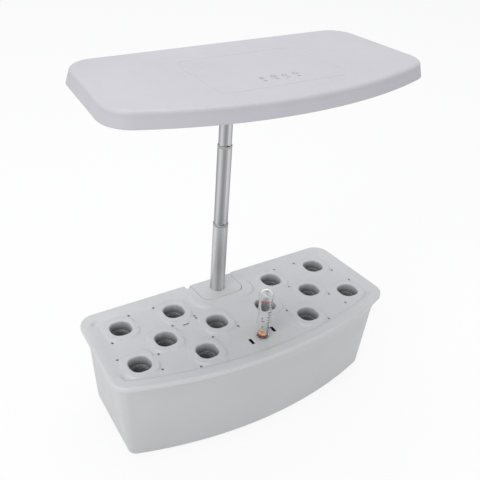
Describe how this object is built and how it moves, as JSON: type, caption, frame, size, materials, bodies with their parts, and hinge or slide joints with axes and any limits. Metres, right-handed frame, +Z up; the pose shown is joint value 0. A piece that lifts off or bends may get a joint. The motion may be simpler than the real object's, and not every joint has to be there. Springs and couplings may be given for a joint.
{
  "type": "countertop hydroponic garden",
  "caption": "White indoor herb garden with a bowed water tank, a pod deck with net baskets and a float gauge, and a grow lamp hood on a telescopic pole.",
  "frame": {"origin": "on the table, under the middle of the object's overall box", "axes": "+X to the user's right, +Y to the back, +Z up; the bowed front faces -Y"},
  "size_m": [0.3982, 0.19, 0.4503],
  "materials": {
    "tank_plastic": "satin",
    "deck_plastic": "satin",
    "hood_plastic": "satin",
    "tray_plastic": "satin",
    "rubber": "matte",
    "tube_metal": "polished",
    "collar_metal": "satin",
    "screw_steel": "satin",
    "clear_plastic": "clear",
    "basket_plastic": "gloss",
    "board": "satin",
    "chips": "gloss",
    "control": "satin",
    "dark_plastic": "gloss",
    "pump_plastic": "satin",
    "impeller": "satin",
    "shaft": "gloss",
    "ring_red": "gloss",
    "float_orange": "gloss"
  },
  "bodies": {
    "base": {"tank": "tank_plastic", "rubber_feet": "rubber", "pole_base": "deck_plastic", "lower_tube": "tube_metal", "lower_collar": "collar_metal", "pump_housing": "pump_plastic", "pump_strainer": "pump_plastic", "pump_shaft": "shaft", "pump_nozzle": "pump_plastic", "pump_gland": "rubber", "suction_cups": "rubber"},
    "middle_stage": {"middle_tube": "tube_metal", "middle_collar": "collar_metal"},
    "lamp": {"upper_tube": "tube_metal", "hood_cover": "hood_plastic", "hood_tray": "tray_plastic", "hood_screws": "screw_steel", "window_lens": "clear_plastic", "led_board": "board", "led_chips": "chips", "control_board": "control", "touch_pads": "dark_plastic", "pole_head": "deck_plastic", "pole_head_screws": "screw_steel", "power_jack": "dark_plastic", "pump_jack": "dark_plastic"},
    "planting_deck": {"deck": "deck_plastic", "gauge_tube": "clear_plastic", "gauge_max_ring": "ring_red", "gauge_guide": "deck_plastic"},
    "float": {"gauge_float": "float_orange"},
    "impeller": {"pump_impeller": "impeller"},
    "pod_1": {"basket_1": "basket_plastic"},
    "pod_2": {"basket_2": "basket_plastic"},
    "pod_3": {"basket_3": "basket_plastic"},
    "pod_4": {"basket_4": "basket_plastic"},
    "pod_5": {"basket_5": "basket_plastic"},
    "pod_6": {"basket_6": "basket_plastic"},
    "pod_7": {"basket_7": "basket_plastic"},
    "pod_8": {"basket_8": "basket_plastic"},
    "pod_9": {"basket_9": "basket_plastic"},
    "pod_10": {"basket_10": "basket_plastic"},
    "pod_11": {"basket_11": "basket_plastic"},
    "pod_12": {"basket_12": "basket_plastic"}
  },
  "joints": [
    {"name": "middle_slide", "type": "slide", "parent": "base", "child": "middle_stage", "axis": [0, 0, 1], "range_m": [-0.095, 0]},
    {"name": "lamp_slide", "type": "slide", "parent": "middle_stage", "child": "lamp", "axis": [0, 0, 1], "range_m": [-0.088, 0]},
    {"name": "deck_lift", "type": "slide", "parent": "base", "child": "planting_deck", "axis": [0, 0, 1], "range_m": [0, 0.05]},
    {"name": "float_rise", "type": "slide", "parent": "planting_deck", "child": "float", "axis": [0, 0, 1], "range_m": [0, 0.05]},
    {"name": "impeller_spin", "type": "hinge", "parent": "base", "child": "impeller", "pos_m": [0.046, 0.01565, 0.0222], "axis": [1, 0, 0], "continuous": true},
    {"name": "basket_1_lift", "type": "slide", "parent": "planting_deck", "child": "pod_1", "axis": [0, 0, 1], "range_m": [0, 0.055]},
    {"name": "basket_2_lift", "type": "slide", "parent": "planting_deck", "child": "pod_2", "axis": [0, 0, 1], "range_m": [0, 0.055]},
    {"name": "basket_3_lift", "type": "slide", "parent": "planting_deck", "child": "pod_3", "axis": [0, 0, 1], "range_m": [0, 0.055]},
    {"name": "basket_4_lift", "type": "slide", "parent": "planting_deck", "child": "pod_4", "axis": [0, 0, 1], "range_m": [0, 0.055]},
    {"name": "basket_5_lift", "type": "slide", "parent": "planting_deck", "child": "pod_5", "axis": [0, 0, 1], "range_m": [0, 0.055]},
    {"name": "basket_6_lift", "type": "slide", "parent": "planting_deck", "child": "pod_6", "axis": [0, 0, 1], "range_m": [0, 0.055]},
    {"name": "basket_7_lift", "type": "slide", "parent": "planting_deck", "child": "pod_7", "axis": [0, 0, 1], "range_m": [0, 0.055]},
    {"name": "basket_8_lift", "type": "slide", "parent": "planting_deck", "child": "pod_8", "axis": [0, 0, 1], "range_m": [0, 0.055]},
    {"name": "basket_9_lift", "type": "slide", "parent": "planting_deck", "child": "pod_9", "axis": [0, 0, 1], "range_m": [0, 0.055]},
    {"name": "basket_10_lift", "type": "slide", "parent": "planting_deck", "child": "pod_10", "axis": [0, 0, 1], "range_m": [0, 0.055]},
    {"name": "basket_11_lift", "type": "slide", "parent": "planting_deck", "child": "pod_11", "axis": [0, 0, 1], "range_m": [0, 0.055]},
    {"name": "basket_12_lift", "type": "slide", "parent": "planting_deck", "child": "pod_12", "axis": [0, 0, 1], "range_m": [0, 0.055]}
  ]
}
